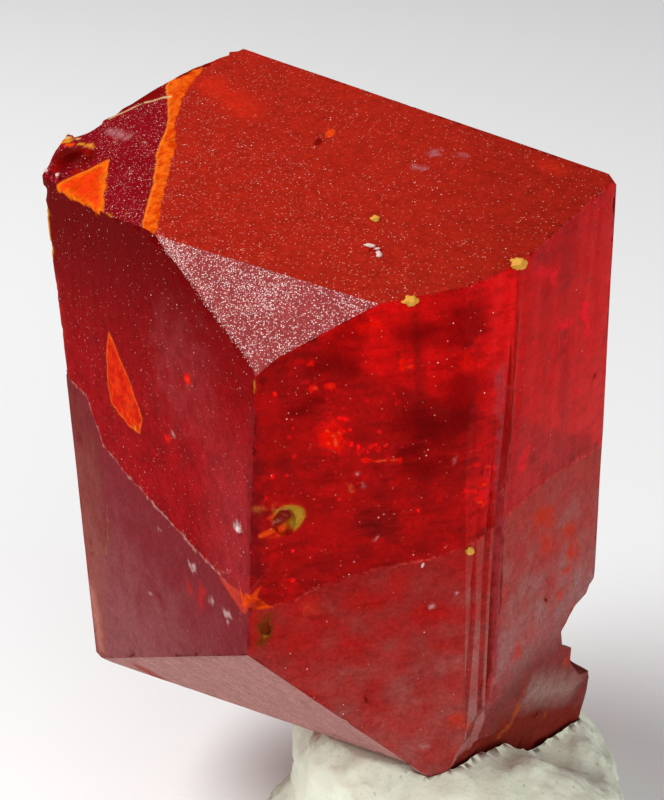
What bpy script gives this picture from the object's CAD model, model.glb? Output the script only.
"""The looks of a realgar specimen: a see-through red crystal whose broken end is held in a lump of putty."""
import math
import random

import bmesh
import bpy
from mathutils import Matrix, Vector, noise
from mathutils.bvhtree import BVHTree

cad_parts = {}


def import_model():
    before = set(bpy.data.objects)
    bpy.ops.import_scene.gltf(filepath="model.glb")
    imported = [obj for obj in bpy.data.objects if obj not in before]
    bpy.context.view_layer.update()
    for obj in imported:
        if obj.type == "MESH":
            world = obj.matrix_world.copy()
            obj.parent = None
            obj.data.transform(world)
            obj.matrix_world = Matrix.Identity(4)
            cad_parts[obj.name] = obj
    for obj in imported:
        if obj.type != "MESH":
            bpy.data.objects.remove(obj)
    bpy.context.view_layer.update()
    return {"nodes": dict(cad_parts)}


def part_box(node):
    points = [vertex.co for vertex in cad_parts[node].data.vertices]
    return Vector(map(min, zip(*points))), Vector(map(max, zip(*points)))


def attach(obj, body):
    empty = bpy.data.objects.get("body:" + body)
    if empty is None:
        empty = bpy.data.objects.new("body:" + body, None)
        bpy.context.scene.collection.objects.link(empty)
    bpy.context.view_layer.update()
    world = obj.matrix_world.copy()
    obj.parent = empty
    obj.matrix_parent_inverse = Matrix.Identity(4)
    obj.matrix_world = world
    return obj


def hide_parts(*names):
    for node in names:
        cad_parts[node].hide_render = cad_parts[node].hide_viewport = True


MM = 0.001

# From the middle of the crystal to the high corner of its box. Everything below is measured from that
# middle, in millimetres, with X to the right and -Y to the front.
HIGH_CORNER = Vector((10.8, 11.54, 10.55))

# The camera looks along +Y and down, at the middle of the crystal.
VIEW_SLOPE = 26.0
VIEW_DISTANCE = 66.5
LENS = 94.9
SENSOR_WIDTH = 36.0

# The strength of the world's light, and each lamp's place, size and power, in metres and watts.
WORLD_STRENGTH = 0.28
LAMPS = {"key": ((-0.18, -0.02, 0.25), 0.16, 0.78), "fill": ((0.15, -0.25, 0.12), 0.26, 0.42)}
FLOOR_SIZE = 4.0
FLOOR_COLOUR = (0.93, 0.93, 0.93)

# Flat faces of the crystal: compass direction and slope of the outward normal in degrees, and the distance
# from the middle.
FACES = {
    "top": (-107.6, 80.0, 8.68),
    "top_left": (-155.5, 68.8, 9.95),
    "left_front": (-147.9, 0.9, 7.07),
    "side_strip": (-154.0, 1.13, 7.64),
    "right_front": (-75.7, -3.0, 8.06),
    "striated": (-55.3, -1.8, 8.5),
    "right": (-35.3, -1.5, 8.49),
    "back_right": (47.6, 5.1, 6.91),
    "back_left": (117.4, -3.0, 11.29),
    "far_left": (162.0, -6.6, 11.86),
    "far_left_high": (163.4, -6.9, 11.16),
    "upper_facet": (-119.6, 55.0, 9.88),
    "lower_facet": (-121.3, -36.9, 10.62),
    "underside": (-91.3, -80.6, 12.69),
    "back_lower_facet": (95.0, -45.0, 14.6),
    "back_edge": (83.0, -8.0, 11.4),
}


def shade(red, green, blue):
    """A colour given by its values from 0 to 255 on a screen."""
    return Vector((value / 255.0) ** 2.2 for value in (red, green, blue))


# How each face is finished: its frost from 0 to 1, its fine and coarse glitter, its roughness and the colour
# of its frost.
PLAIN = (0.0, 0.0)
FINISHES = {
    "top": (0.96, (0.17, 0.006), 0.4, shade(178, 44, 30)),
    "top_left": (0.97, (0.22, 0.03), 0.4, shade(136, 18, 32)),
    "left_front": (0.97, (0.028, 0.0015), 0.3, shade(164, 22, 27)),
    "side_strip": (0.95, PLAIN, 0.4, shade(188, 140, 132)),
    "right_front": (0.34, (0.012, 0.004), 0.08, shade(234, 8, 8)),
    "striated": (0.45, (0.008, 0.002), 0.12, shade(255, 34, 38)),
    "right": (0.72, (0.006, 0.001), 0.2, shade(182, 14, 18)),
    **dict.fromkeys(("back_right", "back_left"), (0.04, PLAIN, 0.6, shade(220, 30, 30))),
    **dict.fromkeys(("far_left", "far_left_high"), (0.08, PLAIN, 0.3, shade(210, 30, 30))),
    "upper_facet": (0.97, (0.25, 0.6), 0.5, shade(158, 68, 70)),
    "lower_facet": (0.95, (0.05, 0.0), 0.45, shade(196, 146, 140)),
    "underside": (0.6, PLAIN, 0.5, shade(180, 90, 90)),
    "back_lower_facet": (0.3, PLAIN, 0.5, shade(180, 90, 90)),
    "back_edge": (0.04, PLAIN, 0.6, shade(220, 40, 40)),
}
BROKEN_FINISH = (0.8, (0.02, 0.0), 0.5, shade(148, 26, 20))
TOP_FACES = ("top", "top_left")
LEFT_FACES = ("left_front", "side_strip")
FRONT_FACES = ("right_front", "striated", "right")
FACETS = ("upper_facet", "lower_facet")

CRYSTAL_IOR = 1.13
SPECULAR_LEVEL = 0.02
ABSORPTION_COLOUR = (0.998, 0.35, 0.2)
ABSORPTION_DENSITY = 1800.0
BUMP_STRENGTH = 0.5
FINE_DOTS, COARSE_DOTS = 20.0, 17.0
GRAIN_DARK, MOTTLE_DARK, LAYER_DARK = (0.05, 0.0, 0.0), (0.08, 0.002, 0.002), (0.2, 0.002, 0.002)
PUTTY_DARK, PUTTY_LIGHT, PUTTY_DIRT = (0.78, 0.81, 0.63), (0.9, 0.92, 0.77), (0.32, 0.28, 0.2)
PUTTY_ROUGHNESS, GRAIN_ROUGHNESS, GLINT_ROUGHNESS = 0.7, 0.6, 0.3
YELLOW_GRAIN, PALE_CRUMB, GLINT_PINK = shade(214, 150, 42), shade(225, 190, 185), (1.0, 0.6, 0.5)

CLEAR_RED = (1.0, 0.014, 0.012)
DEEP_RED = (0.4, 0.006, 0.006)
DARK_RED = shade(118, 10, 12)
MAROON = shade(98, 8, 12)
BASE_LOW = shade(112, 42, 34)
RIGHT_PALE = shade(202, 74, 76)
EDGE_PINK = shade(180, 72, 78)
STRIPE_PINK = shade(250, 80, 85)
STRIPE_STRENGTHS = {"striated": 0.5, "right": 0.2}
SEAM_WHITE = (shade(200, 140, 134), 0.9)
SEAM_BLUSH = (shade(215, 90, 80), 0.5)
GLITTER = shade(248, 172, 148)
BEAD_WHITE = shade(255, 232, 228)
VEIN_ORANGE = shade(248, 108, 28)
VEIN_RED = shade(222, 66, 12)
VEIN_YELLOW = shade(242, 138, 44)
PATCH_YELLOW = shade(248, 118, 24)
PATCH_RED = shade(252, 62, 24)
HOLLOW_BROWN = shade(108, 16, 9)
LENS_RED, LENS_DEEP = shade(240, 62, 20), shade(215, 30, 14)
PIT_BROWN, PIT_PINK = shade(140, 40, 28), shade(205, 120, 105)

# The healed fracture: degrees round the crystal from its back, and height in millimetres.
SEAM_START = 80.0
SEAM = (
    (0.0, -1.8), (45.0, -0.6), (87.5, -0.78), (94.0, -2.43), (108.0, -2.77), (129.0, -3.06),
    (147.0, -3.29), (162.0, -3.42), (175.0, -3.68), (181.0, -3.6), (186.0, -3.21), (200.0, -2.74),
    (217.0, -2.56), (240.0, -1.69), (260.0, -1.55), (279.0, -1.96), (310.0, -2.2), (360.0, -1.8))

# The duller faces below it: their colour at the fracture and far below, how much it covers and how much that
# varies, and the colour and strength of the line.
SEAM_FINISHES = {
    "left_front": (shade(132, 46, 52), shade(150, 86, 88), 0.95, 0.0, *SEAM_WHITE),
    "side_strip": (shade(124, 36, 36), shade(152, 80, 73), 0.95, 0.0, *SEAM_WHITE),
    **dict.fromkeys(
        ("striated", "right"), (shade(176, 72, 66), shade(170, 122, 118), 0.86, 0.2, *SEAM_BLUSH)),
    None: (shade(140, 36, 28), BASE_LOW, 0.72, 0.25, *SEAM_BLUSH),
}
PLAIN_SEAM = (shade(158, 50, 46), shade(168, 88, 82), 0.72, 0.25, *SEAM_BLUSH)

# The two edges of the vein on the top: places up it and across it.
VEIN_LEFT = (
    (-3.2, -5.5), (-0.76, -6.11), (0.94, -6.62), (2.79, -7.24), (4.48, -7.54), (5.77, -8.03), (7.8, -8.97))
VEIN_RIGHT = (
    (-3.2, -4.86), (1.04, -6.1), (2.93, -6.56), (4.54, -7.24), (5.86, -7.58), (7.17, -7.85), (9.1, -7.9))

# Outlines on a face, across and up it.
PATCH = [(-7.7, -4.9), (-6.98, -2.7), (-3.85, -4.2), (-4.3, -4.76), (-5.44, -4.86)]
LENS_OUTLINE = [
    (-4.56, 2.75), (-3.7, 2.32), (-2.94, 1.39), (-2.28, 0.84), (-1.9, 0.1), (-2.15, -0.55),
    (-2.7, -0.65), (-3.95, -0.5), (-4.6, -0.3), (-4.83, 0.37), (-4.82, 1.56)]

# Marks in the order they are painted. A group has a colour, clearness and softness. On each face, a mark has
# its start and its end across and up, and half its width, then where that differs half the width at its end,
# and how far out of the face its start and its end are.
ORANGE, OLIVE, PINK = shade(240, 76, 24), shade(190, 145, 45), shade(220, 100, 95)
DUST, FLAKE = shade(186, 118, 122), shade(200, 160, 158)
MARKS = {
    "dark scratches": (shade(120, 22, 10), 0.2, 0.1, {
        "right": [
            (-1.5, 6.5, -1.3, 0.0, 0.08), (-1.35, -2.2, -1.1, -5.6, 0.1), (4.85, 1.69, 4.85, 1.69, 0.13),
            (2.4, -6.85, 2.55, -7.0, 0.1)],
        "striated": [(1.0, -7.6, 1.15, -9.9, 0.09)],
        "right_front": [(-0.71, -7.85, -0.66, -8.05, 0.09)],
        "left_front": [(-1.0, -7.0, -0.95, -7.05, 0.05)],
        "top": [(-1.4, 4.3, -1.3, 4.0, 0.16)]}),
    "brown pit": (shade(120, 60, 20), 0.2, 0.3, {"right_front": [(-4.39, -3.85, -4.45, -4.75, 0.24)]}),
    "bright clouds": (shade(205, 48, 30), 0.1, 0.9, {
        "top": [(-7.2, 8.2, -4.9, 6.1, 0.6), (7.3, 4.1, 7.6, 3.9, 0.2)],
        "left_front": [(-9.3, 3.0, -8.9, 0.0, 0.1)]}),
    "glowing edges": (shade(172, 62, 54), 0.1, 0.8, {
        "lower_facet": [(-6.75, -7.36, -4.96, -8.93, 0.35)],
        "side_strip": [(-8.9, -4.0, -7.3, -11.4, 0.3)]}),
    "pale edge": (shade(194, 122, 110), 0.1, 0.8, {"side_strip": [(-6.9, -10.6, -6.2, -12.6, 0.4)]}),
    "wide glows": (shade(255, 26, 14), 0.05, 0.6, {
        "left_front": [(1.45, -5.4, 1.7, -5.3, 0.06), (2.5, -4.95, 2.3, -5.5, 0.04)],
        "right_front": [
            (-2.2, 3.3, -1.95, 2.95, 0.36), (-1.1, 7.1, -0.2, 7.4, 0.16), (2.5, 5.4, 3.0, 4.9, 0.2)]}),
    "wide rose glows": (shade(255, 40, 54), 0.1, 0.6, {
        "right": [
            (-0.3, 7.5, 0.95, 7.0, 0.12), (1.4, 5.0, 2.5, 4.6, 0.12), (3.4, 5.0, 3.8, 4.1, 0.1),
            (-0.5, 0.1, -0.1, 0.6, 0.2)],
        "striated": [(0.82, 0.8, 0.5, -0.4, 0.16)]}),
    "rose spots": (shade(255, 40, 54), 0.1, 0.24, {
        "right": [
            (3.5, 5.05, 3.54, 4.98, 0.14), (3.24, 4.93, 3.24, 4.93, 0.05), (3.85, 4.02, 3.89, 3.9, 0.13),
            (1.45, 5.25, 1.45, 5.2, 0.09), (2.08, 5.08, 2.08, 5.02, 0.09), (2.53, 4.72, 2.53, 4.66, 0.08),
            (2.12, 4.08, 2.12, 4.08, 0.04), (0.53, 3.5, 0.53, 3.38, 0.09),
            (-0.18, 0.68, -0.05, 0.68, 0.05), (-0.5, 0.06, -0.42, 0.08, 0.08)]}),
    "glowing spots": (shade(255, 26, 14), 0.15, 0.19, {
        "right_front": [
            (-2.93, 5.95, -2.75, 5.92, 0.07), (-2.8, 5.13, -2.58, 5.11, 0.07),
            (-2.24, 5.12, -2.12, 5.08, 0.13), (-0.95, 2.15, 0.25, 1.98, 0.07),
            (-4.75, 2.0, -4.5, 1.97, 0.09), (-4.72, 2.55, -4.68, 2.5, 0.05), (0.3, 5.75, 0.5, 5.73, 0.07),
            (0.25, 5.5, 0.5, 5.52, 0.06), (2.55, 5.72, 2.56, 5.68, 0.09), (3.05, 5.75, 3.1, 5.65, 0.08)],
        "striated": [
            (0.5, 0.95, 0.75, 0.87, 0.1), (0.42, 0.32, 0.72, 0.22, 0.09), (0.3, 0.0, 0.58, -0.08, 0.08),
            (0.18, -0.3, 0.52, -0.42, 0.09)],
        "left_front": [(1.71, 3.22, 1.85, 3.25, 0.13), (0.0, 0.25, 0.3, 0.35, 0.12)]}),
    "hot spots": (shade(255, 96, 52), 0.1, 0.08, {
        "right_front": [
            (-1.99, 3.08, -1.96, 2.84, 0.05), (-2.3, 3.42, -2.27, 3.38, 0.03),
            (-2.12, 3.22, -2.0, 3.24, 0.03), (-1.82, 3.3, -1.78, 3.26, 0.03),
            (-2.22, 3.0, -2.2, 2.98, 0.03), (-2.2, 5.12, -2.14, 5.07, 0.045),
            (-2.75, 5.12, -2.62, 5.11, 0.03), (-0.5, 2.08, -0.2, 2.05, 0.035),
            (-0.02, 2.02, 0.12, 2.0, 0.035), (0.38, 5.5, 0.46, 5.51, 0.025), (2.53, 5.72, 2.56, 5.7, 0.03)],
        "striated": [
            (0.56, 0.93, 0.7, 0.89, 0.035), (0.5, 0.29, 0.64, 0.25, 0.03),
            (0.28, -0.34, 0.42, -0.38, 0.035)],
        "left_front": [(1.75, 3.22, 1.8, 3.24, 0.05)]}),
    "pink hairs": (PINK, 0.35, 0.08, {
        "striated": [(1.35, -4.4, 1.7, -9.5, 0.08)],
        "right_front": [(3.22, -5.7, 3.42, -9.0, 0.09), (-5.05, -2.78, -4.31, -1.74, 0.03)],
        "left_front": [
            (5.4, -3.55, 5.11, -2.76, 0.03), (3.85, -3.45, 4.75, -2.9, 0.03),
            (-8.31, -2.6, -7.87, -8.91, 0.16)]}),
    "rust clouds": (shade(214, 62, 42), 0.15, 0.7, {
        "right": [
            (1.3, -2.7, 1.9, -3.0, 0.35), (1.9, -4.0, 2.2, -4.3, 0.32), (2.0, -3.3, 2.6, -3.6, 0.1),
            (3.7, -4.4, 4.1, -4.7, 0.26), (4.2, -5.7, 4.7, -5.9, 0.32), (3.7, -6.3, 4.1, -6.5, 0.12),
            (3.5, -7.3, 3.9, -7.5, 0.15), (5.0, -11.0, 5.05, -11.2, 0.15), (0.5, -8.1, 0.55, -8.4, 0.15)],
        "right_front": [(2.9, -9.6, 3.3, -9.9, 0.22), (-2.9, -3.5, -2.6, -3.7, 0.12)]}),
    "grey cloud": (shade(170, 134, 126), 0.05, 1.6, {"right": [(2.2, -11.1, 5.8, -13.1, 0.5)]}),
    "dark base": (shade(142, 54, 44), 0.1, 0.3, {
        "right": [
            (0.6, -12.5, 6.6, -15.3, 0.85, 0.85, -0.5, -0.5),
            (0.6, -12.5, -2.2, -12.2, 0.5, 0.5, -0.5, -0.8)]}),
    "mauve band": (shade(182, 66, 72), 0.3, 0.36, {"striated": [(0.95, 4.6, 1.85, -9.5, 0.18)]}),
    "dark band": (shade(138, 26, 30), 0.35, 0.6, {"right_front": [(-4.75, 4.3, -4.65, -2.0, 0.26)]}),
    "coral wedge": (shade(205, 66, 52), 0.1, 0.06, {"left_front": [(3.8, -3.62, 5.45, -3.8, 0.04, 0.4)]}),
    "amber": (shade(182, 84, 44), 0.1, 0.19, {
        "right": [
            (1.35, -10.5, 1.29, -11.66, 0.06, 0.06, 0.0, -0.27),
            (1.29, -11.66, 1.1, -12.33, 0.12, 0.12, -0.27, -0.38),
            (0.9, -12.3, 0.64, -12.6, 0.2, 0.2, -0.4, -0.55),
            (-2.6, -12.6, -2.1, -12.9, 0.26, 0.26, -0.95, -0.9),
            (3.9, -13.4, 4.1, -13.7, 0.1, 0.1, -0.4, -0.4)],
        "right_front": [
            (-1.44, 1.2, -1.44, 1.08, 0.07), (-4.7, 0.75, -4.45, 0.8, 0.05),
            (-4.1, 0.5, -4.12, 0.85, 0.04)]}),
    "orange": (ORANGE, 0.1, 0.06, {
        "top": [(-1.18, 5.1, -1.12, 4.7, 0.15)],
        "right_front": [
            (-5.0, -3.0, -4.1, -3.3, 0.34, 0.03), (-4.95, -2.95, -4.5, -2.4, 0.2, 0.02),
            (-4.5, -0.3, -4.1, -0.2, 0.12), (-4.88, 2.2, -4.92, 0.6, 0.05)],
        "left_front": [(5.62, -3.75, 5.3, -3.2, 0.18, 0.02)],
        "top_left": [
            (-10.85, -3.85, -10.6, -3.6, 0.14), (-10.2, -3.45, -9.9, -3.3, 0.12),
            (-8.1, -4.7, -7.2, -4.6, 0.12)]}),
    "yellow": (shade(232, 156, 40), 0.1, 0.06, {
        "right_front": [(-4.75, 6.25, -4.78, 5.2, 0.15)],
        "left_front": [
            (-9.8, 6.05, -9.4, 4.0, 0.17, 0.06), (-2.6, -0.5, -2.6, -0.5, 0.11),
            (-4.3, 7.42, -3.9, 7.5, 0.07)],
        "top_left": [(-10.55, -3.45, -10.35, -3.25, 0.12), (-9.7, -3.1, -9.4, -2.95, 0.08)]}),
    "olive line": (shade(146, 98, 58), 0.15, 0.12, {
        "left_front": [(-5.47, -5.0, -5.53, -6.6, 0.05), (-5.53, -6.6, -6.64, -10.15, 0.06)]}),
    "olive spot": (OLIVE, 0.3, 0.12, {"right_front": [(-4.45, -4.35, -4.4, -4.5, 0.06)]}),
    "crust": (shade(236, 150, 60), 0.1, 0.19, {
        "top_left": [(-11.0, -3.4, -10.3, -2.95, 0.12), (-9.2, -2.85, -8.6, -2.7, 0.07)]}),
    "dust": (DUST, 0.1, 0.3, {
        "top_left": [(-9.38, -1.9, -7.9, -1.5, 0.14)],
        "right_front": [(2.75, -6.9, 2.75, -6.95, 0.08), (1.66, -10.58, 1.66, -10.6, 0.12)],
        "top": [(3.07, 4.16, 3.2, 4.2, 0.1), (2.72, 2.99, 2.8, 3.0, 0.08), (4.04, 4.22, 4.1, 4.22, 0.08)]}),
    "flakes": (FLAKE, 0.1, 0.13, {
        "left_front": [
            (5.08, -0.95, 5.4, -0.82, 0.11), (5.2, -0.75, 5.5, -0.9, 0.07), (1.6, -4.3, 1.95, -4.15, 0.1),
            (1.75, -4.4, 2.05, -4.28, 0.06), (3.1, -5.0, 3.35, -4.9, 0.08), (4.2, -5.0, 4.55, -4.86, 0.1),
            (4.4, -5.2, 4.5, -5.15, 0.06), (-1.8, -7.3, -1.5, -7.22, 0.03),
            (-0.9, -4.05, -0.6, -3.95, 0.03), (0.55, 0.55, 0.75, 0.62, 0.045)],
        "right_front": [
            (-1.21, 1.6, -1.19, 1.58, 0.03), (-1.02, 1.26, -0.95, 1.15, 0.02),
            (-0.48, -1.0, -0.5, -1.02, 0.035), (2.25, 1.7, 2.15, 1.55, 0.02),
            (3.14, -3.65, 3.14, -3.72, 0.08), (2.59, -3.83, 2.59, -3.88, 0.06),
            (1.68, -4.22, 1.68, -4.25, 0.06)]}),
    "dark edge": (shade(132, 16, 12), 0.1, 0.12, {
        "top_left": [(-10.95, -0.9, -10.5, 0.8, 0.33)],
        "top": [(-9.0, 8.2, -7.9, 9.8, 0.15)]}),
    "cream": (shade(238, 200, 145), 0.1, 0.08, {
        "top_left": [
            (-10.9, -3.3, -10.75, -3.2, 0.08), (-10.2, -3.0, -10.1, -2.95, 0.06),
            (-9.6, 1.0, -10.25, 0.1, 0.07), (-10.3, -0.1, -10.45, -1.4, 0.06)],
        "top": [(-8.7, 8.75, -8.6, 8.85, 0.05), (-8.2, 9.5, -8.1, 9.6, 0.05)]}),
}

# Duller and darker clouds inside, seen through the right front face: place across and up it, and radius.
SHADOWS = (
    (-2.14, 6.3, 1.3), (2.39, 4.2, 1.6), (0.8, 3.8, 1.3), (1.29, 1.5, 1.1),
    (2.0, 2.9, 1.4), (-3.2, 4.36, 0.6), (2.2, 6.9, 1.5), (0.6, 6.6, 1.0))

# Small fractures inside that mirror the light: place, depth under the face, spread across and up, and number.
GLINTS = (
    ("right_front", [(-0.8, 3.0, 0.9, 5.0, 6.0, 70)]),
    ("right", [(1.5, 4.0, 0.8, 3.5, 4.0, 26)]),
    ("right_front", [
        (-0.5, -6.0, 0.8, 6.0, 5.0, 26), (-2.0, 3.0, 0.6, 0.5, 0.5, 80), (-2.2, 5.12, 0.5, 0.13, 0.13, 8),
        (-2.78, 5.04, 0.6, 0.26, 0.06, 8), (-2.97, 5.8, 0.6, 0.14, 0.2, 7), (-0.3, 2.05, 0.9, 0.8, 0.08, 22),
        (0.41, 5.65, 0.8, 0.16, 0.14, 8)]),
    ("striated", [
        (0.2, 5.35, 0.9, 0.3, 0.3, 9), (-0.6, 5.4, 0.9, 0.1, 0.12, 4), (-0.3, 6.1, 0.7, 0.2, 0.08, 5),
        (-0.66, 6.8, 0.7, 0.25, 0.1, 5), (0.75, 0.75, 0.7, 0.2, 0.1, 8), (0.7, 0.12, 0.7, 0.22, 0.08, 8),
        (0.55, -0.32, 0.7, 0.25, 0.12, 10)]),
    ("right_front", [(-4.58, 2.4, 0.6, 0.15, 0.12, 5), (-4.62, 3.1, 0.6, 0.1, 0.2, 5)]),
    ("right", [
        (-0.66, 0.13, 0.8, 0.12, 0.25, 7), (1.88, 5.1, 0.8, 0.16, 0.16, 6), (2.64, 4.09, 0.8, 0.2, 0.12, 5),
        (0.46, 5.45, 0.8, 0.12, 0.12, 4), (3.84, 4.13, 0.8, 0.14, 0.2, 6), (3.82, 5.04, 0.8, 0.12, 0.16, 5)]),
    ("left_front", [
        (1.7, 3.21, 0.8, 0.22, 0.16, 8), (0.91, 1.24, 0.8, 0.3, 0.2, 5), (3.44, 3.25, 0.9, 0.4, 0.3, 5)]),
    ("top", [(-5.5, 6.3, 0.8, 0.5, 0.5, 8), (7.4, 4.0, 0.8, 0.4, 0.2, 6)]),
)
GLINT_SIZE, GLINT_TILT, GLINT_MARGIN = 0.085, 0.16, 0.25
GLINT_CORNERS, GLINT_SEED = 6, 5
CLEAVAGE = (-75.0, 20.0)

# Grains and crumbs on the faces: place, radius and how long they are for their width.
YELLOW_GRAINS = (
    ("top", 2.36, -0.99, 0.15, 1.1), ("top", 7.77, -2.84, 0.24, 1.0), ("top", 4.92, -5.8, 0.21, 1.1),
    ("right_front", 2.95, -2.05, 0.15, 1.2))
PALE_CRUMBS = (
    ("top", 2.68, -2.72, 0.08, 2.6), ("top", 3.12, -3.2, 0.09, 2.2), ("top", 2.95, -2.85, 0.05, 2.0),
    ("left_front", 5.37, -0.94, 0.1, 1.3), ("right_front", 1.24, -2.4, 0.05, 1.8),
    ("top_left", -8.81, -4.81, 0.09, 1.1), ("top_left", -7.92, -4.59, 0.08, 1.1))

# Mesh steps in millimetres: on the seen faces, on the back faces and on the broken surfaces.
GRID = 0.2
BACK_GRID = 0.3
ROUGH_GRID = 0.14
BACK_FACES = ("back_right", "back_left", "back_lower_facet", "back_edge", "underside")
PAINT_GRIDS = (0.14, 0.07)
PUTTY_GRID = 0.2

# Edges sharper than this, between faces larger than this, are worn to this width; angles are in degrees.
SHARP_ANGLE, LARGE_FACE, EDGE_WIDTH = 9.0, 1.2, 0.07
FLAT_ANGLE, CREASE_ANGLE = 0.4, 32.0

# Relief in millimetres: growth ridges of a face, chipped edges, lumps of broken surfaces and of the putty.
RIDGE_DEPTHS = {
    "striated": 0.05, "right": 0.018, "right_front": 0.008, "back_right": 0.03, "back_left": 0.03}
CHIP_DEPTH, LUMP_DEPTH, SKIN_DEPTH = 0.16, 0.07, 0.16

# Points closer than this are one, and the putty stays this far from the crystal, both in metres.
WELD_GAP = 2e-6
PRESS_GAP = 0.03 * MM

# Above this height lie the top's films. Painted edges move by less than WARP_REACH, drawn from NOISE_SEED.
FILM_LEVEL = 7.0
WARP_REACH = 0.2
NOISE_SEED = 1
MARK_ROUGHNESS = 0.45


def direction(azimuth, slope):
    """The unit vector with this compass direction and slope, in degrees."""
    turn, rise = math.radians(azimuth), math.radians(slope)
    return Vector((math.cos(rise) * math.cos(turn), math.cos(rise) * math.sin(turn), math.sin(rise)))


def face_axes(face):
    """The directions across, up and out of a face."""
    azimuth, slope, _ = FACES[face]
    out = direction(azimuth, slope)
    across = Vector((-math.sin(math.radians(azimuth)), math.cos(math.radians(azimuth)), 0.0))
    return across, out.cross(across), out


AXES = {face: face_axes(face) for face in FACES}


def face_point(face, across, up, out=0.0):
    """The point at this place across and up a face, and this far out of it."""
    side, rise, normal = AXES[face]
    return normal * (FACES[face][2] + out) + side * across + rise * up


def smooth(value, low, high):
    """0 below low, 1 above high, and smooth between."""
    share = min(1.0, max(0.0, (value - low) / (high - low)))
    return share * share * (3.0 - 2.0 * share)


def cloudy(place, roughness, octaves):
    return noise.fractal(place, roughness, 2.0, octaves)


class Graph:
    """Short calls for building one material's nodes. A value is a number, a colour, a vector or a socket."""

    def __init__(self, name):
        self.material = bpy.data.materials.new(name)
        self.material.use_nodes = True
        self.tree = self.material.node_tree
        self.shader = self.tree.nodes["Principled BSDF"]
        self.output = self.tree.nodes["Material Output"]

    def put(self, socket, value):
        if isinstance(value, bpy.types.NodeSocket):
            self.tree.links.new(value, socket)
        elif socket.type == "RGBA":
            socket.default_value = (*value, 1.0)
        else:
            socket.default_value = value

    def add(self, kind, *values, **settings):
        node = self.tree.nodes.new("ShaderNode" + kind)
        for name, value in settings.items():
            setattr(node, name, value)
        for socket, value in zip(node.inputs, values):
            self.put(socket, value)
        return node.outputs[0]

    def math(self, operation, *values):
        return self.add("Math", *values, operation=operation)

    def vector(self, operation, *values):
        return self.add("VectorMath", *values, operation=operation)

    def mix(self, factor, first, second):
        node = self.tree.nodes.new("ShaderNodeMix")
        node.data_type = "RGBA"
        self.put(node.inputs[0], factor)
        self.put(node.inputs[6], first)
        self.put(node.inputs[7], second)
        return node.outputs[2]

    def step(self, value, low, high, start=0.0, end=1.0):
        """start below low, end above high, and smooth between."""
        return self.add("MapRange", value, low, high, start, end, interpolation_type="SMOOTHSTEP")

    def noise(self, place, scale, detail=2.0, roughness=0.5):
        node = self.tree.nodes.new("ShaderNodeTexNoise")
        self.put(node.inputs["Vector"], place)
        for name, value in (("Scale", scale), ("Detail", detail), ("Roughness", roughness)):
            node.inputs[name].default_value = value
        return node.outputs["Fac"]

    def dots(self, place, scale, share, faintest, strongest):
        """Round separate dots on this share of the cells, of different strengths."""
        cells = self.tree.nodes.new("ShaderNodeTexVoronoi")
        self.put(cells.inputs["Vector"], place)
        cells.inputs["Scale"].default_value = scale
        chosen, tone, _ = self.split(cells.outputs["Color"])
        near = self.step(cells.outputs["Distance"], 0.25, 0.5, 1.0, 0.0)
        kept = self.math("LESS_THAN", chosen, share)
        strength = self.step(tone, 0.0, 1.0, faintest, strongest)
        return self.math("MULTIPLY", self.math("MULTIPLY", near, kept), strength)

    def attribute(self, name, output="Color"):
        node = self.tree.nodes.new("ShaderNodeAttribute")
        node.attribute_name = name
        return node.outputs[output]

    def split(self, colour):
        node = self.tree.nodes.new("ShaderNodeSeparateColor")
        self.put(node.inputs[0], colour)
        return node.outputs[0], node.outputs[1], node.outputs[2]

    def bump(self, height, distance):
        """A bumpy normal. The distance is in metres."""
        node = self.tree.nodes.new("ShaderNodeBump")
        node.inputs["Strength"].default_value = BUMP_STRENGTH
        node.inputs["Distance"].default_value = distance
        self.put(node.inputs["Height"], height)
        return node.outputs["Normal"]

    def surface(self, values):
        """Give the shader these values, and return the material."""
        for name, value in values.items():
            self.put(self.shader.inputs[name], value)
        return self.material

    def place(self, middle):
        """The surface point in millimetres from the middle of the crystal."""
        seen = self.tree.nodes.new("ShaderNodeTexCoord").outputs["Object"]
        return self.vector("MULTIPLY", self.vector("SUBTRACT", seen, middle), (1.0 / MM,) * 3)


class Paint:
    """The colour, clearness and finish of one point of the surface, painted over by masks."""

    def __init__(self, colour, rough):
        self.colour = Vector(colour)
        self.rough = rough
        self.clear, self.glitter, self.beads = 1.0, 0.0, 0.0

    def cover(self, mask, colour, clear=None, rough=None):
        if mask <= 0.0:
            return
        self.colour = self.colour.lerp(Vector(colour), mask)
        if clear is not None:
            self.clear += (clear - self.clear) * mask
            self.glitter *= 1.0 - mask
            self.beads *= 1.0 - mask
        if rough is not None:
            self.rough += (rough - self.rough) * mask


def along_line(value, points):
    """The height at this value of the line through these points."""
    for (first, low), (last, high) in zip(points, points[1:]):
        if value <= last:
            return low + (high - low) * max(0.0, (value - first) / (last - first))
    return points[-1][1]


def outline_depth(across, up, corners):
    """How far inside a convex outline a place on a face is. The corners go clockwise."""
    depth = 1e9
    for start, end in zip(corners, corners[1:] + corners[:1]):
        run_across, run_up = end[0] - start[0], end[1] - start[1]
        side = (across - start[0]) * run_up - (up - start[1]) * run_across
        depth = min(depth, side / math.hypot(run_across, run_up))
    return depth


def on_face(face, place):
    """Where a place is across and up a face, and how far out of it."""
    side, rise, out = AXES[face]
    return place.dot(side), place.dot(rise), place.dot(out) - FACES[face][2]


def line_depth(place, first, along, width, end_width):
    """How far inside a mark with round ends a place is."""
    share = 0.0
    if along.length_squared > 0.0:
        share = min(1.0, max(0.0, (place - first).dot(along) / along.length_squared))
    return width + (end_width - width) * share - (place - first - along * share).length


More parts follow.
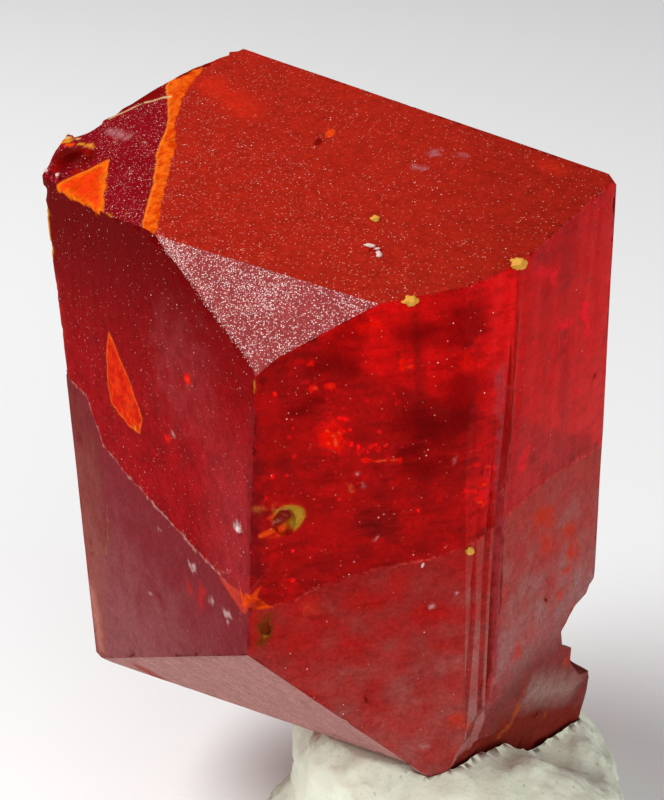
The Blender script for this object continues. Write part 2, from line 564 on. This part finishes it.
def solid_mark(face, across, up, end_across, end_up, width, end_width=None, out=0.0, end_out=0.0):
    """A mark's start, its run, and half its width at both ends."""
    first = face_point(face, across, up, out)
    return first, face_point(face, end_across, end_up, end_out) - first, width, end_width or width


def vein_depth(place):
    across, up, out = on_face("top", place)
    depth = min(across - along_line(up, VEIN_LEFT), along_line(up, VEIN_RIGHT) - across)
    return depth if out > -0.6 else -1.0


def patch_depth(place):
    across, up, out = on_face("top_left", place)
    return min(outline_depth(across, up, PATCH), 2.0 * (out + 0.42))


def lens_depth(place):
    across, up, out = on_face("left_front", place)
    return outline_depth(across, up, LENS_OUTLINE) if out > -0.5 else -1.0


def pit_reach(place):
    """How far a place is from the middle of the pit, with its rim at 1, and how far along the pit."""
    across, up, out = on_face("right_front", place)
    across, up = across + 3.72, up - 0.14
    long, short = (0.8 * across + 0.6 * up) / 0.62, (0.8 * up - 0.6 * across) / 0.42
    return math.hypot(long, short) if out > -0.9 else 9.0, long


def seam_depth(place):
    """How far a place is below the healed fracture."""
    turn = (math.degrees(math.atan2(place.y, place.x)) - SEAM_START) % 360.0
    return along_line(turn, SEAM) - place.z


def warped(place):
    """The place moved a little, so that painted edges are uneven."""
    return place + 0.08 * noise.noise_vector(place * 2.0) + 0.015 * noise.noise_vector(place * 7.0)


def prepared_marks():
    """The marks with their colours, clearness and softness, and a ball round each."""
    lines = []
    for colour, clear, soft, faces in MARKS.values():
        for face, marks in faces.items():
            for mark in marks:
                first, along, *widths = line = solid_mark(face, *mark)
                ball = first + along * 0.5, (along.length * 0.5 + max(widths) + soft + WARP_REACH) ** 2
                lines.append((colour, clear, soft, line, *ball))
    return lines


def sharp_distance(place, lines):
    """How far a place is from the nearest painted edge."""
    nearest = 9.0
    if place.z > FILM_LEVEL:
        nearest = min(nearest, abs(vein_depth(place)), abs(patch_depth(place)))
    elif place.x < -6.0 and abs(place.z) < 4.0:
        nearest = min(nearest, abs(lens_depth(place)))
    if -5.0 < place.z < 0.0:
        nearest = min(nearest, abs(seam_depth(place)))
    for _, _, soft, line, centre, reach in lines:
        if soft < 0.2 and (place - centre).length_squared < reach:
            nearest = min(nearest, abs(line_depth(place, *line)))
    reach, _ = pit_reach(place)
    if reach < 2.0:
        nearest = min(nearest, 0.45 * abs(reach - 1.25), 0.45 * abs(reach - 0.65))
    return nearest


def paint_inside(paint, place):
    """Darker clouds and thin level layers in the clear red."""
    level = place.z - 0.12 * place.x
    layers = cloudy(Vector((place.x * 0.6, place.y * 0.6, level * 2.6)), 0.7, 4)
    cloud = cloudy(place * 0.45, 0.8, 3)
    paint.cover(smooth(cloud + 0.8 * layers, 0.0, 0.8) * 0.6, DEEP_RED)
    for across, up, radius in SHADOWS:
        gap = (place - face_point("right_front", across, up)).length + 0.8 * cloud + 0.5 * layers
        paint.cover(0.85 * (1.0 - smooth(gap, 0.2 * radius, 1.2 * radius)), DARK_RED, 0.35)


def stripes(name, place):
    """The pale stripes along a striated face, from -1 to 1."""
    across, up, _ = on_face(name, place)
    wide = noise.noise(Vector((across * 2.6, up * 0.06, 2.0)))
    return wide + 0.6 * noise.noise(Vector((across * 8.0, up * 0.12, 4.0)))


def left_tint(place, cloud, tint):
    """The frost of the left faces: darker above, dusty in the middle and paler at the front edge."""
    high = smooth(place.z - 0.3 * place.x, 1.5, 10.0)
    blotch = smooth(cloudy(place * 0.8, 0.7, 4), -0.3, 0.6)
    mottle = smooth(cloudy(place * 2.2, 0.6, 3), -0.1, 0.5)
    haze = 1.0 - smooth((place - face_point("left_front", 1.3, 3.2)).length, 0.5, 4.5)
    across, up, _ = on_face("left_front", place)
    tint = tint.lerp(MAROON, max(high, 0.4 * blotch))
    tint = tint.lerp(DUST, 0.12 * smooth(0.4 * cloud + haze, 0.1, 1.3))
    tint = tint.lerp(MAROON, 0.3 * mottle)
    return tint.lerp(EDGE_PINK, 0.3 * smooth(across, 1.5, 5.0) * smooth(-up, -4.0, 0.0))


def paint_frost(paint, place, name, frost, tint):
    """The frost of a face, with its stripes, its clouds and its paler and darker parts."""
    cloud = cloudy(place * 1.6, 0.6, 4)
    tint = Vector(tint)
    if name in STRIPE_STRENGTHS:
        strength = STRIPE_STRENGTHS[name]
        stripe = stripes(name, place)
        frost *= 0.8 + strength * stripe + 0.2 * cloud
        tint = tint.lerp(STRIPE_PINK, smooth(stripe, 0.1, 0.8) * 0.6 * strength)
        if name == "right":
            up = on_face("right", place)[1]
            tint = tint.lerp(RIGHT_PALE, 0.6 * smooth(-up, -4.0, 1.0))
            tint *= 1.0 - 0.4 * smooth(up, 4.0, 9.0)
    elif name in FRONT_FACES or name in BACK_FACES:
        frost *= 0.8 + 0.5 * cloud
    elif name in LEFT_FACES:
        tint = left_tint(place, cloud, tint)
    else:
        tint *= 0.92 - 0.12 * cloud
        if name == "top":
            tint *= 1.0 - 0.22 * smooth(place.x, 1.0, 9.0)
        elif name == "upper_facet":
            tint = tint.lerp(FLAKE, 0.35 * (1.0 - smooth(place.x, -8.0, -4.5)))
    paint.cover(min(1.0, max(0.0, frost)), tint, 0.0)


def paint_seam(paint, place, wobbly, name):
    """The healed fracture: a thin pale line round the crystal, and duller faces below it."""
    if name in FACETS or name in TOP_FACES:
        return
    below = seam_depth(wobbly)
    patchy = cloudy(place * 0.9, 0.7, 4)
    high, low, cover, change, line, strength = SEAM_FINISHES.get(name, PLAIN_SEAM)
    colour = high.lerp(low, smooth(below + 2.0 * patchy, 0.5, 8.5))
    if name == "right":
        colour = colour.lerp(BASE_LOW, 0.8 * smooth(below, 6.5, 9.0))
    cover = min(0.95, max(0.0, cover + change * patchy))
    paint.cover(smooth(below, -0.03, 0.1) * cover, colour, 0.1)
    crumbly = smooth(noise.noise(place * 4.0) + 0.5 * noise.noise(place * 11.0), -0.35, 0.5)
    width = 0.03 + 0.05 * crumbly
    thin = 1.0 - smooth(abs(below), 0.5 * width, width)
    paint.cover(thin * strength * (0.3 + 0.7 * crumbly), line, 0.1, 0.5)


def paint_vein(paint, place, wobbly):
    """The orange vein across the top."""
    depth = vein_depth(wobbly)
    if depth < -0.1:
        return
    grainy = smooth(cloudy(place * 3.5, 0.5, 4), -0.5, 0.5)
    paint.cover(smooth(depth, -0.03, 0.03), VEIN_RED.lerp(VEIN_ORANGE, grainy), 0.0, 0.55)
    across, up, _ = on_face("top", wobbly)
    rim = across - along_line(up, VEIN_LEFT)
    paint.cover(0.8 * smooth(rim, 0.0, 0.03) * (1.0 - smooth(rim, 0.05, 0.1)), VEIN_YELLOW)


def paint_patch(paint, place, wobbly):
    """The orange corner patch and the dark hollow behind it."""
    hollow = line_depth(wobbly, *solid_mark("top_left", -9.4, -3.8, -8.15, -3.25, 0.62))
    paint.cover(smooth(hollow, 0.0, 0.25), HOLLOW_BROWN, 0.3)
    depth = patch_depth(wobbly)
    mottled = smooth(cloudy(place * 2.5, 0.6, 4), -0.4, 0.5)
    paint.cover(smooth(depth, -0.03, 0.03), PATCH_YELLOW, 0.0, 0.5)
    red = PATCH_RED.lerp(VEIN_RED, mottled)
    paint.cover(smooth(depth - 0.15 * mottled, -0.05, 0.32), red)


def paint_lens(paint, place, wobbly):
    """The red-orange lens on the left face."""
    depth = lens_depth(wobbly)
    mottled = smooth(cloudy(place * 2.2, 0.5, 5), -0.5, 0.5)
    paint.cover(smooth(depth, -0.03, 0.03), VEIN_ORANGE, 0.05, 0.4)
    paint.cover(smooth(depth, 0.02, 0.09), LENS_DEEP.lerp(LENS_RED, mottled))


def paint_pit(paint, place, wobbly):
    """The olive and orange rim of the pit on the right front face, and the thin ring lower down."""
    reach, long = pit_reach(wobbly)
    if reach < 2.0:
        rim = ORANGE.lerp(OLIVE, smooth(long, -0.6, 0.2))
        patchy = smooth(noise.noise(place * 2.5) + long * 0.4, -0.6, 0.1)
        paint.cover((1.0 - smooth(reach, 1.1, 1.45)) * patchy, rim, 0.05, 0.4)
        speckled = PIT_BROWN.lerp(PIT_PINK, smooth(noise.noise(place * 6.0), 0.05, 0.4))
        paint.cover(1.0 - smooth(reach, 0.5, 0.8), speckled, 0.2)
    ring = (place - face_point("right_front", -0.15, -9.17)).length - 0.16
    paint.cover(0.5 * (1.0 - smooth(abs(ring), 0.02, 0.05)), PINK, 0.2)


def paint_glitter(paint, place, glitter):
    """How dense the fine bright grains and the coarse white ones are."""
    fading = 1.0 - 0.75 * smooth(place.x + 0.35 * place.y, -8.0, 7.0)
    clumps = 1.0 + 0.8 * cloudy(place * 0.8, 0.8, 3)
    paint.glitter = glitter[0] * fading * clumps
    paint.beads = glitter[1] * clumps * (1.3 - 0.5 * smooth(place.x, -6.0, 1.0))
    edge = line_depth(place, *solid_mark("upper_facet", -3.7, -0.1, 2.3, -4.2, 0.17))
    paint.beads = max(paint.beads, 0.9 * smooth(edge, 0.0, 0.08))


def painted(place, name, lines):
    """The paint at one place of a face."""
    frost, glitter, rough, tint = FINISHES.get(name, BROKEN_FINISH)
    wobbly = warped(place)
    paint = Paint(CLEAR_RED, rough)
    paint_frost(paint, place, name, frost, tint)
    if name in FRONT_FACES:
        paint_inside(paint, place)
    paint_glitter(paint, place, glitter)
    paint_seam(paint, place, wobbly, name)
    if place.z > FILM_LEVEL:
        if name in TOP_FACES:
            paint_vein(paint, place, wobbly)
        paint_patch(paint, place, wobbly)
    paint_lens(paint, place, wobbly)
    for colour, clear, soft, line, centre, reach in lines:
        if (wobbly - centre).length_squared < reach:
            depth = line_depth(wobbly, *line)
            if soft > 0.1:
                depth += min(0.8 * soft, 0.25) * cloudy(place * 2.5, 0.6, 3)
            paint.cover(smooth(depth, -0.5 * soft, 0.5 * soft + 0.02), colour, clear, MARK_ROUGHNESS)
    paint_pit(paint, place, wobbly)
    return paint


def crystal_material(middle):
    """Clear red that takes its paint from the mesh, with fine grain and glitter added."""
    g = Graph("realgar")
    place = g.place(middle)
    paint, clear = g.attribute("paint"), g.attribute("paint", "Alpha")
    rough, glitter, beads = g.split(g.attribute("finish"))
    grain = g.noise(place, 7.0, 3.0, 0.7)
    colour = g.mix(g.step(grain, 0.35, 0.7, 0.28, 0.0), paint, GRAIN_DARK)
    mottle = g.noise(place, 2.4, 4.0, 0.7)
    colour = g.mix(g.step(mottle, 0.45, 0.68, 0.0, 0.2), colour, MOTTLE_DARK)
    level = g.vector("MULTIPLY", place, (0.8, 0.8, 4.2))
    layers = g.step(g.noise(level, 1.0, 4.0, 0.65), 0.48, 0.7)
    colour = g.mix(g.math("MULTIPLY", g.math("MULTIPLY", layers, clear), 0.75), colour, LAYER_DARK)

    fine = g.dots(place, FINE_DOTS, glitter, 0.05, 0.85)
    colour = g.mix(fine, colour, GLITTER)
    coarse = g.dots(place, COARSE_DOTS, beads, 0.3, 1.0)
    colour = g.mix(coarse, colour, BEAD_WHITE)
    bright = g.math("MAXIMUM", fine, coarse)

    volume = g.tree.nodes.new("ShaderNodeVolumeAbsorption")
    volume.inputs["Color"].default_value = (*ABSORPTION_COLOUR, 1.0)
    volume.inputs["Density"].default_value = ABSORPTION_DENSITY
    g.tree.links.new(volume.outputs[0], g.output.inputs["Volume"])
    return g.surface({
        "Base Color": colour,
        "Transmission Weight": g.math("MULTIPLY", clear, g.math("SUBTRACT", 1.0, bright)),
        "Roughness": rough,
        "IOR": CRYSTAL_IOR,
        "Specular IOR Level": SPECULAR_LEVEL,
        "Normal": g.bump(grain, 0.03 * MM)})


def plain_material(name, colour, roughness, metallic=0.0):
    return Graph(name).surface({"Base Color": colour, "Roughness": roughness, "Metallic": metallic})


def putty_material(middle):
    g = Graph("putty")
    place = g.place(middle)
    cloud = g.noise(place, 0.5, 3.0)
    dirt = g.step(g.noise(place, 3.2, 4.0, 0.7), 0.6, 0.72)
    colour = g.mix(cloud, PUTTY_DARK, PUTTY_LIGHT)
    colour = g.mix(g.math("MULTIPLY", dirt, 0.6), colour, PUTTY_DIRT)
    normal = g.bump(g.noise(place, 4.0, 4.0), 0.1 * MM)
    return g.surface({"Base Color": colour, "Roughness": PUTTY_ROUGHNESS, "Normal": normal})


def owning_face(face, close=0.985, reach=0.12):
    """The name of the flat face that this small face belongs to, or None."""
    centre = face.calc_center_median()
    best, owner = close, None
    for name, (_, _, out) in AXES.items():
        match = face.normal.dot(out)
        if match > best and abs(centre.dot(out) - FACES[name][2]) < reach:
            best, owner = match, name
    return owner


def bevel_edges(mesh):
    """Wear every edge between two large faces down to a narrow round one."""
    sharp = []
    for edge in mesh.edges:
        if edge.calc_face_angle(0.0) > math.radians(SHARP_ANGLE):
            if min(face.calc_area() for face in edge.link_faces) > LARGE_FACE:
                sharp.append(edge)
    bmesh.ops.bevel(
        mesh, geom=sharp, offset=EDGE_WIDTH, segments=2, profile=0.5, affect="EDGES", clamp_overlap=True)


def cut_span(mesh, faces, axis, low, high, step):
    """Cut faces at every step along an axis, by halving the span again and again."""
    if high - low < 1.5 * step or not faces:
        return faces
    middle = low + step * round((high - low) / (2.0 * step))
    parts = dict.fromkeys(part for face in faces for part in (*face.edges, *face.verts, face))
    cut = bmesh.ops.bisect_plane(mesh, geom=list(parts), dist=1e-4, plane_co=axis * middle, plane_no=axis)
    pieces = [item for item in cut["geom"] if isinstance(item, bmesh.types.BMFace)]
    below = [face for face in pieces if face.calc_center_median().dot(axis) < middle]
    above = [face for face in pieces if face.calc_center_median().dot(axis) >= middle]
    return (cut_span(mesh, below, axis, low, middle, step)
            + cut_span(mesh, above, axis, middle, high, step))


def cut_grid(mesh):
    """Cut every flat face into small squares that follow the face's own directions."""
    groups = {}
    for face in mesh.faces:
        groups.setdefault(owning_face(face), []).append(face)
    for name, faces in groups.items():
        if name is None:
            continue
        step = BACK_GRID if name in BACK_FACES else GRID
        for axis in AXES[name][:2]:
            reach = [vertex.co.dot(axis) for face in faces for vertex in face.verts]
            faces = cut_span(mesh, faces, axis, min(reach), max(reach), step)


def halve_edges(mesh, edges, corners=4):
    """Cut these edges in half, and the faces with more corners than this into triangles."""
    edges = list(dict.fromkeys(edges))
    bmesh.ops.subdivide_edges(mesh, edges=edges, cuts=1, use_grid_fill=True)
    bmesh.ops.triangulate(mesh, faces=[face for face in mesh.faces if len(face.verts) > corners])


def cut_rough(mesh):
    """Cut the broken surfaces finer."""
    for _ in range(2):
        rough = [face for face in mesh.faces if owning_face(face) is None]
        long = [edge for face in rough for edge in face.edges if edge.calc_length() > 2.0 * ROUGH_GRID]
        halve_edges(mesh, long)


def relief(name, across, up):
    """How far a face is worn in at this place, in millimetres."""
    wave = noise.noise(Vector((across * 0.3, up * 0.3, 1.0)))
    if name in RIDGE_DEPTHS:
        ridge = noise.noise(Vector((across * 3.0, up * 0.08, 3.0)))
        fine = noise.noise(Vector((across * 7.0, up * 0.15, 7.0)))
        return RIDGE_DEPTHS[name] * (0.7 + 0.8 * ridge + 0.4 * fine) + 0.015 * wave
    hill = noise.noise(Vector((across * 1.6, up * 1.6, 5.0)))
    return 0.012 * (1.0 + wave) + 0.008 * hill


def wear(mesh):
    """Give the flat faces their low relief, and chip the edges."""
    frames = [(name, *AXES[name], FACES[name][2]) for name in FACES]
    moves = []
    for vertex in mesh.verts:
        push = Vector()
        near = []
        for name, side, rise, out, distance in frames:
            depth = distance - vertex.co.dot(out)
            share = 1.0 - smooth(depth, 0.02, 0.3)
            if share > 0.0 and depth > -0.2:
                push -= out * (share * relief(name, vertex.co.dot(side), vertex.co.dot(rise)))
                near.append((share, out))
        if not near:
            lump = noise.noise(vertex.co * 2.6) + 0.6 * noise.noise(vertex.co * 6.0)
            push = vertex.normal * (LUMP_DEPTH * lump - 0.04)
        if len(near) > 1:
            near.sort(key=lambda item: -item[0])
            if near[0][1].dot(near[1][1]) < 0.85:
                chip = noise.noise(vertex.co * 1.3) + 0.5 * noise.noise(vertex.co * 3.7)
                push -= (near[0][1] + near[1][1]) * (CHIP_DEPTH * near[1][0] * max(0.0, chip - 0.22))
        moves.append(push)
    for vertex, push in zip(mesh.verts, moves):
        vertex.co += push


def cut_paint(mesh):
    """Cut the small faces on painted edges finer still."""
    lines = prepared_marks()
    for size in PAINT_GRIDS:
        edges = []
        for face in mesh.faces:
            long = [edge for edge in face.edges if edge.calc_length() > size]
            if not long:
                continue
            gap = sharp_distance(warped(face.calc_center_median()), lines)
            if gap < 0.7 * long[0].calc_length():
                edges.extend(long)
        halve_edges(mesh, edges)


def store_owners(mesh):
    """Note on every small face which flat face it belongs to, before wear bends them."""
    layer = mesh.faces.layers.int.new("owner")
    names = list(FACES)
    for face in mesh.faces:
        name = owning_face(face) or owning_face(face, close=0.8, reach=0.5)
        face[layer] = names.index(name) if name else -1


def store_paint(data):
    """Paint every corner of every face, and store the paint for the material."""
    names = list(FACES) + [None]
    lines = prepared_marks()
    owners = data.attributes["owner"].data
    paints = {}
    colours, finishes = [], []
    for polygon in data.polygons:
        name = names[owners[polygon.index].value]
        for corner in polygon.vertices:
            key = (corner, name)
            if key not in paints:
                paint = painted(Vector(data.vertices[corner].co), name, lines)
                finish = (paint.rough, paint.glitter, paint.beads, 1.0)
                paints[key] = (*paint.colour, paint.clear), finish
            colours.extend(paints[key][0])
            finishes.extend(paints[key][1])
    for name, values in (("paint", colours), ("finish", finishes)):
        data.attributes.new(name, "FLOAT_COLOR", "CORNER").data.foreach_set("color", values)


def made_data(name, mesh):
    data = bpy.data.meshes.new(name)
    mesh.to_mesh(data)
    mesh.free()
    return data


def add_object(name, data):
    added = bpy.data.objects.new(name, data)
    bpy.context.scene.collection.objects.link(added)
    return added


def add_piece(name, data, material):
    data.materials.append(material)
    return add_object(name, data)


def solid_mesh(frame, node):
    mesh = bmesh.new()
    mesh.from_mesh(frame["nodes"][node].data)
    bmesh.ops.remove_doubles(mesh, verts=mesh.verts, dist=WELD_GAP)
    return mesh


def make_crystal(frame, middle):
    """The crystal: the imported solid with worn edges, low relief and a finish for each face."""
    mesh = solid_mesh(frame, "realgar_crystal")
    mesh.transform(Matrix.Scale(1.0 / MM, 4) @ Matrix.Translation(-middle))
    bmesh.ops.dissolve_limit(mesh, angle_limit=math.radians(FLAT_ANGLE), verts=mesh.verts, edges=mesh.edges)
    bevel_edges(mesh)
    mesh.normal_update()
    cut_grid(mesh)
    cut_rough(mesh)
    cut_paint(mesh)
    mesh.normal_update()
    store_owners(mesh)
    wear(mesh)
    data = made_data("crystal", mesh)
    store_paint(data)
    data.transform(Matrix.Translation(middle) @ Matrix.Scale(MM, 4))
    data.shade_smooth()
    data.set_sharp_from_angle(angle=math.radians(CREASE_ANGLE))
    crystal = add_piece("crystal", data, crystal_material(middle))
    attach(crystal, "root")
    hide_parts("realgar_crystal")


def add_lump(mesh, place, radii, axes, seed):
    """Add a small uneven lump to a mesh."""
    made = bmesh.ops.create_icosphere(mesh, subdivisions=3, radius=1.0)
    for vertex in made["verts"]:
        unit = vertex.co.normalized()
        shift = Vector((seed, 0.0, 0.0))
        size = 1.0 + 0.5 * noise.noise(unit * 1.6 + shift) + 0.35 * noise.noise(unit * 4.0 + shift)
        shifts = (axis * (unit[index] * radii[index] * size) for index, axis in enumerate(axes))
        vertex.co = place + sum(shifts, Vector())


def make_grains(name, grains, material, middle):
    """Grains that sit on the faces, as one piece."""
    mesh = bmesh.new()
    for number, (face, across, up, radius, length) in enumerate(grains):
        side, rise, out = AXES[face]
        turn = Matrix.Rotation(1.9 * number, 3, out)
        axes = (turn @ side, turn @ rise, out)
        place = face_point(face, across, up, 0.25 * radius)
        add_lump(mesh, place, (radius * length, radius, 0.7 * radius), axes, number)
    data = made_data(name, mesh)
    data.transform(Matrix.Translation(middle) @ Matrix.Scale(MM, 4))
    data.shade_smooth()
    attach(add_piece(name, data, material), "root")


def well_inside(place, margin):
    return all(place.dot(out) < FACES[name][2] - margin for name, (_, _, out) in AXES.items())


def add_glint(mesh, rng, face, across, up, depth, spread_across, spread_up):
    """Add one small fracture near this place, unless it would come out of the crystal."""
    place = face_point(face, across + rng.gauss(0.0, 0.5) * spread_across,
                       up + rng.gauss(0.0, 0.5) * spread_up, -depth - 0.3 * rng.random())
    if not well_inside(place, GLINT_MARGIN):
        return
    tilt = Vector(rng.gauss(0.0, GLINT_TILT) for _ in range(3))
    out = (direction(*CLEAVAGE) + tilt).normalized()
    side = out.orthogonal().normalized()
    rise = out.cross(side)
    size = GLINT_SIZE * (0.5 + rng.random())
    corners = []
    for corner in range(GLINT_CORNERS):
        turn = math.tau * (corner + 0.4 * rng.random()) / GLINT_CORNERS
        reach = size * (0.6 + 0.5 * rng.random())
        corners.append(mesh.verts.new(place + (side * math.cos(turn) + rise * math.sin(turn)) * reach))
    mesh.faces.new(corners)


def make_glints(middle):
    """Small cleavage fractures inside the crystal, all nearly parallel."""
    rng = random.Random(GLINT_SEED)
    mesh = bmesh.new()
    for face, groups in GLINTS:
        for *spot, count in groups:
            for _ in range(count):
                add_glint(mesh, rng, face, *spot)
    data = made_data("glints", mesh)
    data.transform(Matrix.Translation(middle) @ Matrix.Scale(MM, 4))
    material = plain_material("glint", GLINT_PINK, GLINT_ROUGHNESS, metallic=1.0)
    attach(add_piece("glints", data, material), "root")


def make_putty(frame, middle):
    """The putty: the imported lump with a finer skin, pressed up against the crystal."""
    crystal = BVHTree.FromBMesh(solid_mesh(frame, "realgar_crystal"))
    mesh = solid_mesh(frame, "mounting_putty")
    for _ in range(3):
        long = [edge for edge in mesh.edges if edge.calc_length() > 1.5 * PUTTY_GRID * MM]
        halve_edges(mesh, long, corners=3)
    mesh.normal_update()
    low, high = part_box("mounting_putty")
    moves = []
    for vertex in mesh.verts:
        spot_mm = (vertex.co - middle) / MM
        nearest, _, _, gap = crystal.find_nearest(vertex.co)
        free = smooth(gap / MM, 0.3, 0.9)
        lump = noise.noise(spot_mm * 0.9) + 0.6 * noise.noise(spot_mm * 2.2)
        lump += 0.35 * noise.noise(spot_mm * 5.0)
        press = (nearest - vertex.co) * ((1.0 - free) * (1.0 - PRESS_GAP / max(gap, PRESS_GAP)))
        moves.append(vertex.normal * (SKIN_DEPTH * MM * free * (lump - 0.7)) + press)
    for vertex, move in zip(mesh.verts, moves):
        place = vertex.co + move
        vertex.co = Vector(min(max(value, low[axis]), high[axis]) for axis, value in enumerate(place))
    data = made_data("putty", mesh)
    data.shade_smooth()
    putty = add_piece("putty", data, putty_material(middle))
    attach(putty, "root")
    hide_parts("mounting_putty")


def make_floor():
    bpy.ops.mesh.primitive_plane_add(size=FLOOR_SIZE)
    floor = bpy.context.object
    floor.name = "floor"
    floor.data.materials.append(plain_material("pale_floor", FLOOR_COLOUR, 0.9))


def add_lights(middle):
    world = bpy.data.worlds.new("studio")
    bpy.context.scene.world = world
    world.use_nodes = True
    background = world.node_tree.nodes["Background"]
    background.inputs["Color"].default_value = (1.0, 1.0, 1.0, 1.0)
    background.inputs["Strength"].default_value = WORLD_STRENGTH
    for name, (place, size, power) in LAMPS.items():
        lamp = bpy.data.lights.new(name, "AREA")
        lamp.shape = "DISK"
        lamp.size = size
        lamp.energy = power
        holder = add_object(name, lamp)
        holder.location = place
        holder.rotation_euler = (middle - Vector(place)).to_track_quat("-Z", "Y").to_euler()


def add_camera(middle):
    lens = bpy.data.cameras.new("camera")
    lens.sensor_fit = "HORIZONTAL"
    lens.sensor_width = SENSOR_WIDTH
    lens.lens = LENS
    lens.clip_start = MM
    camera = add_object("camera", lens)
    slope = math.radians(VIEW_SLOPE)
    away = Vector((0.0, -math.cos(slope), math.sin(slope))) * VIEW_DISTANCE * MM
    camera.location = middle + away
    camera.rotation_euler = (-away).to_track_quat("-Z", "Y").to_euler()
    bpy.context.scene.camera = camera


def main():
    noise.seed_set(NOISE_SEED)
    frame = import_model()
    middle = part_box("realgar_crystal")[1] - HIGH_CORNER * MM
    add_camera(middle)
    add_lights(middle)
    make_floor()
    bpy.context.scene.view_settings.view_transform = "Standard"
    make_crystal(frame, middle)
    make_putty(frame, middle)
    yellow = plain_material("yellow_grain", YELLOW_GRAIN, GRAIN_ROUGHNESS)
    pale = plain_material("pale_crumb", PALE_CRUMB, GRAIN_ROUGHNESS)
    make_grains("yellow_grains", YELLOW_GRAINS, yellow, middle)
    make_grains("pale_crumbs", PALE_CRUMBS, pale, middle)
    make_glints(middle)


main()
